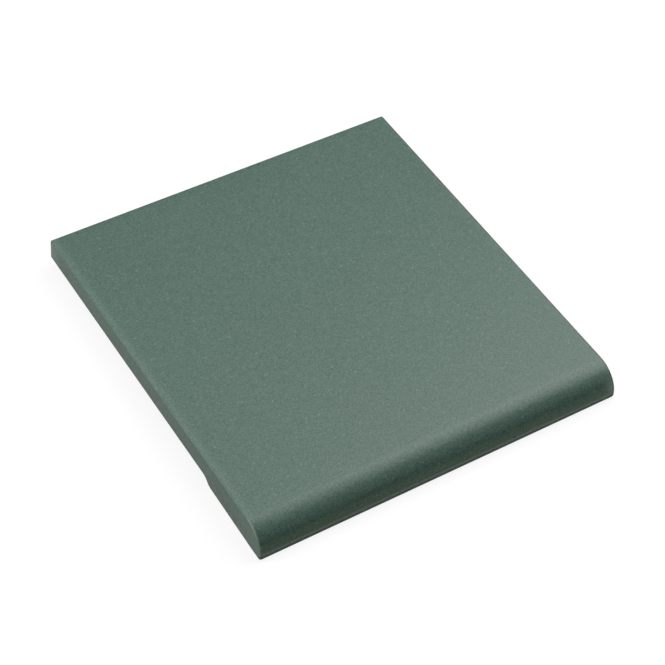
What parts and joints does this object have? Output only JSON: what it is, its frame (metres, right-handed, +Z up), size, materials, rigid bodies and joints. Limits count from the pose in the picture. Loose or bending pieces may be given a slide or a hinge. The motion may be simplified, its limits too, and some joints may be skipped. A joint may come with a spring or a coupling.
{
  "type": "bullnose tile",
  "caption": "Square glazed wall tile with its front edge rounded over into a quarter-round nose, on a low foot, with a ribbed back for the adhesive.",
  "frame": {"origin": "middle of the tile in plan, on the level that its lip and ribs stand on", "axes": "+Z up out of the glazed face, -Y out of the rounded edge, +X along the rounded edge"},
  "size_m": [0.098, 0.1048, 0.0081],
  "materials": {
    "glazed_tile": "satin sage-green glaze with fine speckle on the face and nose, dull olive-grey unglazed walls and back"
  },
  "bodies": {
    "root": {"bullnose_tile": "glazed_tile"}
  },
  "joints": []
}
